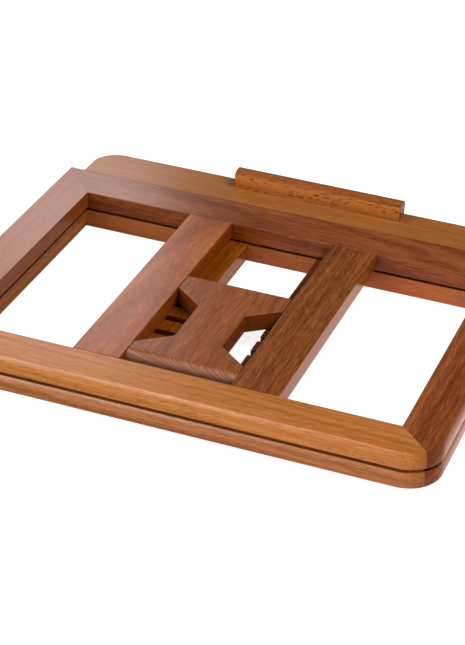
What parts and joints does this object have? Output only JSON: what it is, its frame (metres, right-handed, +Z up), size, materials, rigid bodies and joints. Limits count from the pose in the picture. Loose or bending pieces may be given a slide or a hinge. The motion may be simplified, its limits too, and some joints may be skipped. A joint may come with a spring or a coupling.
{
  "type": "photo album stand",
  "caption": "Folding wooden album stand: two hinged frames, a ledge that stops the album, and an H-shaped prop board that drops into cross notches.",
  "frame": {"origin": "under the middle of the folded stand, on the surface it lies on", "axes": "+X along the hinge edge, +Y from the album ledge to the rack's free edge, +Z up"},
  "size_m": [0.51, 0.465, 0.0376],
  "materials": {
    "light_wood": "semi-gloss lacquer, light brown",
    "dark_wood": "semi-gloss lacquer, walnut brown",
    "prop_wood": "semi-gloss lacquer, red brown",
    "joinery_wood": "bare beech",
    "brass": "satin",
    "steel": "bright zinc"
  },
  "bodies": {
    "base": {"album_ledge": "light_wood", "base_back_rail": "light_wood", "base_dowel_1": "joinery_wood", "base_dowel_10": "joinery_wood", "base_dowel_11": "joinery_wood", "base_dowel_12": "joinery_wood", "base_dowel_2": "joinery_wood", "base_dowel_3": "joinery_wood", "base_dowel_4": "joinery_wood", "base_dowel_5": "joinery_wood", "base_dowel_6": "joinery_wood", "base_dowel_7": "joinery_wood", "base_dowel_8": "joinery_wood", "base_dowel_9": "joinery_wood", "base_front_board": "light_wood", "base_left_notched_bar": "dark_wood", "base_left_rail": "dark_wood", "base_mitre_key_1": "joinery_wood", "base_mitre_key_2": "joinery_wood", "base_right_notched_bar": "dark_wood", "base_right_rail": "dark_wood", "hinge_left_lower_leaf": "brass", "hinge_left_lower_screw_a": "brass", "hinge_left_lower_screw_b": "brass", "hinge_left_pin": "steel", "hinge_right_lower_leaf": "brass", "hinge_right_lower_screw_a": "brass", "hinge_right_lower_screw_b": "brass", "hinge_right_pin": "steel", "ledge_left_screw": "steel", "ledge_right_screw": "steel"},
    "rack": {"hinge_left_upper_leaf": "brass", "hinge_left_upper_screw_a": "brass", "hinge_left_upper_screw_b": "brass", "hinge_right_upper_leaf": "brass", "hinge_right_upper_screw_a": "brass", "hinge_right_upper_screw_b": "brass", "prop_left_pin": "steel", "prop_right_pin": "steel", "rack_dowel_1": "joinery_wood", "rack_dowel_2": "joinery_wood", "rack_dowel_3": "joinery_wood", "rack_dowel_4": "joinery_wood", "rack_dowel_5": "joinery_wood", "rack_dowel_6": "joinery_wood", "rack_dowel_7": "joinery_wood", "rack_dowel_8": "joinery_wood", "rack_free_rail": "light_wood", "rack_hinge_rail": "dark_wood", "rack_left_bar": "dark_wood", "rack_left_rail": "dark_wood", "rack_mitre_key_1": "joinery_wood", "rack_mitre_key_2": "joinery_wood", "rack_mitre_key_3": "joinery_wood", "rack_mitre_key_4": "joinery_wood", "rack_right_bar": "dark_wood", "rack_right_rail": "dark_wood"},
    "prop": {"prop_board": "prop_wood"}
  },
  "joints": [
    {"name": "rack_lift", "type": "hinge", "parent": "base", "child": "rack", "pos_m": [0, -0.1477, 0.0208], "axis": [1, 0, 0], "range_deg": [0, 24]},
    {"name": "prop_swing", "type": "hinge", "parent": "rack", "child": "prop", "pos_m": [0, 0.1685, 0.0286], "axis": [1, 0, 0], "range_deg": [0, 30]}
  ],
  "couplings": [
    {"joint": "prop_swing", "follows": "rack_lift", "ratio": 1.25}
  ]
}
